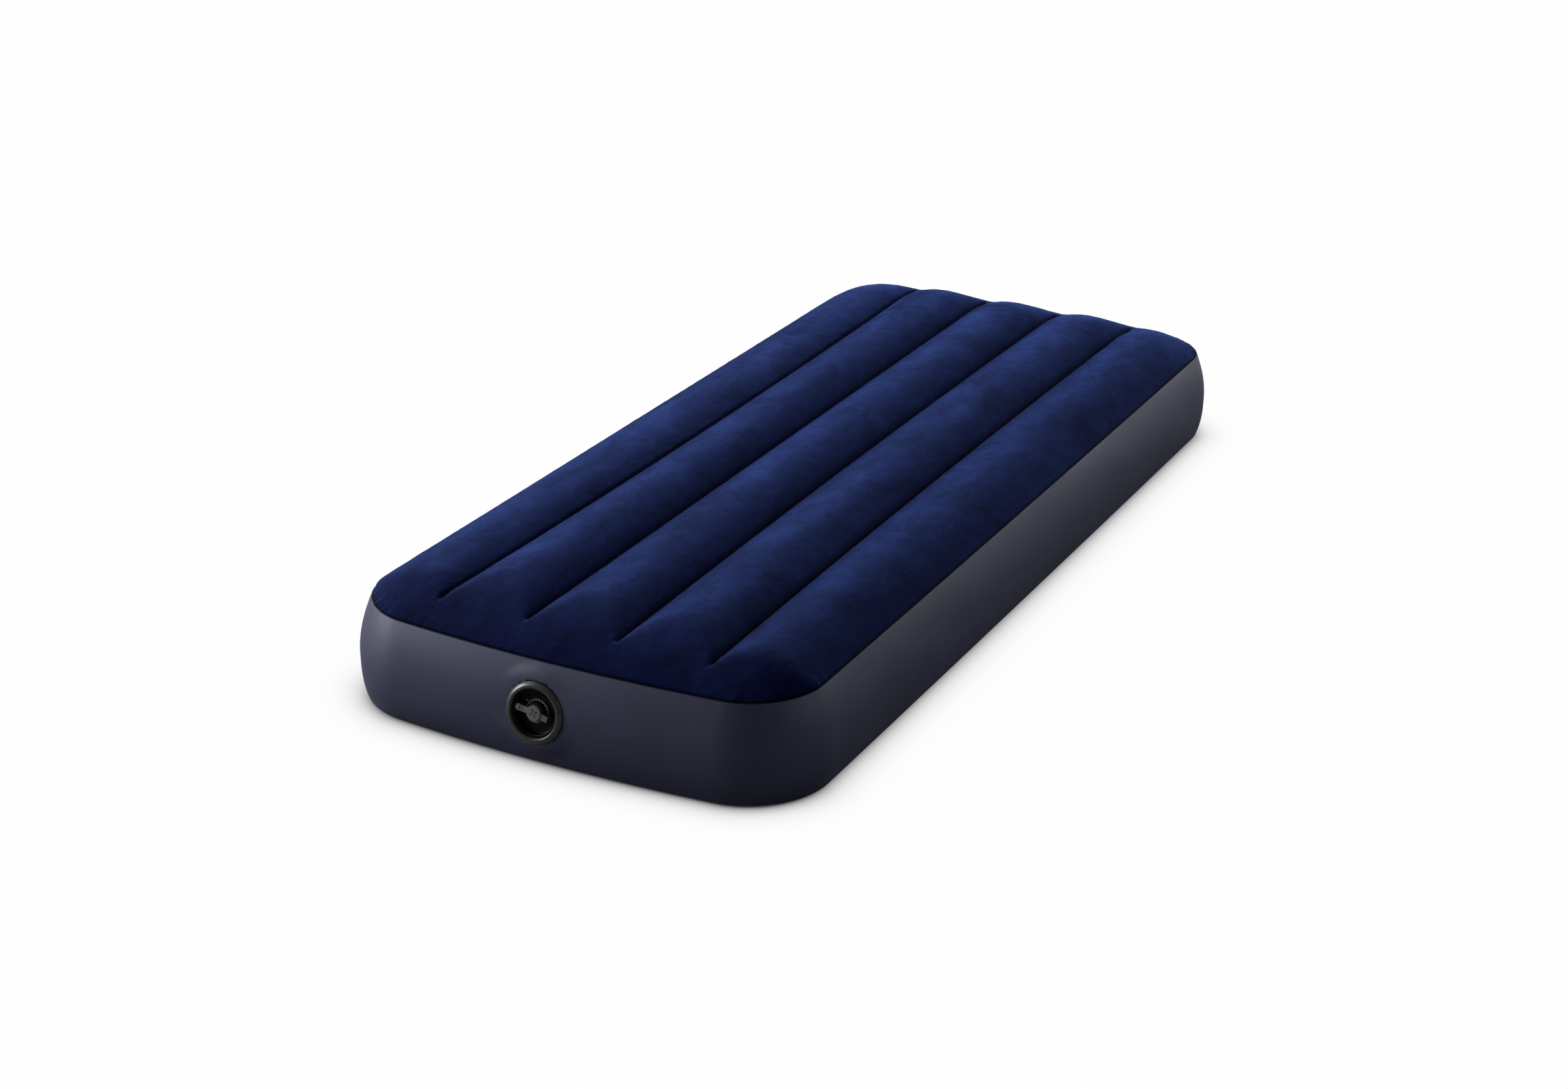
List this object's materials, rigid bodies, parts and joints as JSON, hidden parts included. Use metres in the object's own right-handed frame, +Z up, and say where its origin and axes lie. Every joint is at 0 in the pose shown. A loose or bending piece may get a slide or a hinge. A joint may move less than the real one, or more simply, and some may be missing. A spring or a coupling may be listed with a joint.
{
  "type": "air mattress",
  "caption": "Rectangular inflatable sleeping mattress with a flocked top welded in long chambers, a smooth side band and a screw-out air valve in one end wall.",
  "frame": {"origin": "on the floor, on the centre line of the inflated mattress, 0.955 m from its foot end", "axes": "+X across the width, +Y along the length away from the valve end, +Z up"},
  "size_m": [0.8, 1.8993, 0.218],
  "materials": {
    "flocked_top": "flocked velvet",
    "side_vinyl": "satin",
    "bottom_vinyl": "satin",
    "beam_vinyl": "satin",
    "valve_vinyl": "gloss",
    "plug_black": "satin",
    "seal_rubber": "matte",
    "cap_grey": "matte",
    "flap_rubber": "matte",
    "pin_plastic": "satin"
  },
  "bodies": {
    "root": {"bottom_sheet": "bottom_vinyl", "side_wall": "side_vinyl", "beam_web_1": "beam_vinyl", "beam_web_2": "beam_vinyl", "beam_web_3": "beam_vinyl", "beam_web_4": "beam_vinyl"},
    "top": {"top_sheet": "flocked_top"},
    "valve": {"valve_base": "valve_vinyl"},
    "seal": {"plug_seal": "seal_rubber"},
    "plug": {"deflation_plug": "plug_black", "cap_strap": "cap_grey", "cap_rivet": "cap_grey", "flap_pin": "pin_plastic"},
    "cap": {"inflation_cap": "cap_grey"},
    "flap": {"check_flap": "flap_rubber"}
  },
  "joints": [
    {"name": "top_sink", "type": "slide", "parent": "root", "child": "top", "axis": [0, 0, -1], "range_m": [0, 0.02624], "deforming": ["side_wall", "beam_web_1", "beam_web_2", "beam_web_3", "beam_web_4"]},
    {"name": "valve_sink", "type": "slide", "parent": "root", "child": "valve", "axis": [0, 0, -1], "range_m": [0, 0.01428]},
    {"name": "plug_lift", "type": "slide", "parent": "valve", "child": "seal", "axis": [0, -0.9903, 0.1392], "range_m": [0, 0.00801]},
    {"name": "plug_turn", "type": "hinge", "parent": "seal", "child": "plug", "pos_m": [-0.015, -0.95423, 0.088], "axis": [0, -0.9903, 0.1392], "range_deg": [0, 360]},
    {"name": "cap_open", "type": "hinge", "parent": "plug", "child": "cap", "pos_m": [-0.03434, -0.95438, 0.09055], "axis": [-0.1286, -0.138, -0.9821], "range_deg": [0, 110]},
    {"name": "flap_open", "type": "hinge", "parent": "plug", "child": "flap", "pos_m": [-0.015, -0.93601, 0.09836], "axis": [1, 0, 0], "range_deg": [0, 40]}
  ],
  "couplings": [
    {"joint": "valve_sink", "follows": "top_sink", "ratio": 0.53658},
    {"joint": "plug_lift", "follows": "plug_turn", "m_per_rad": 0.0012732}
  ]
}
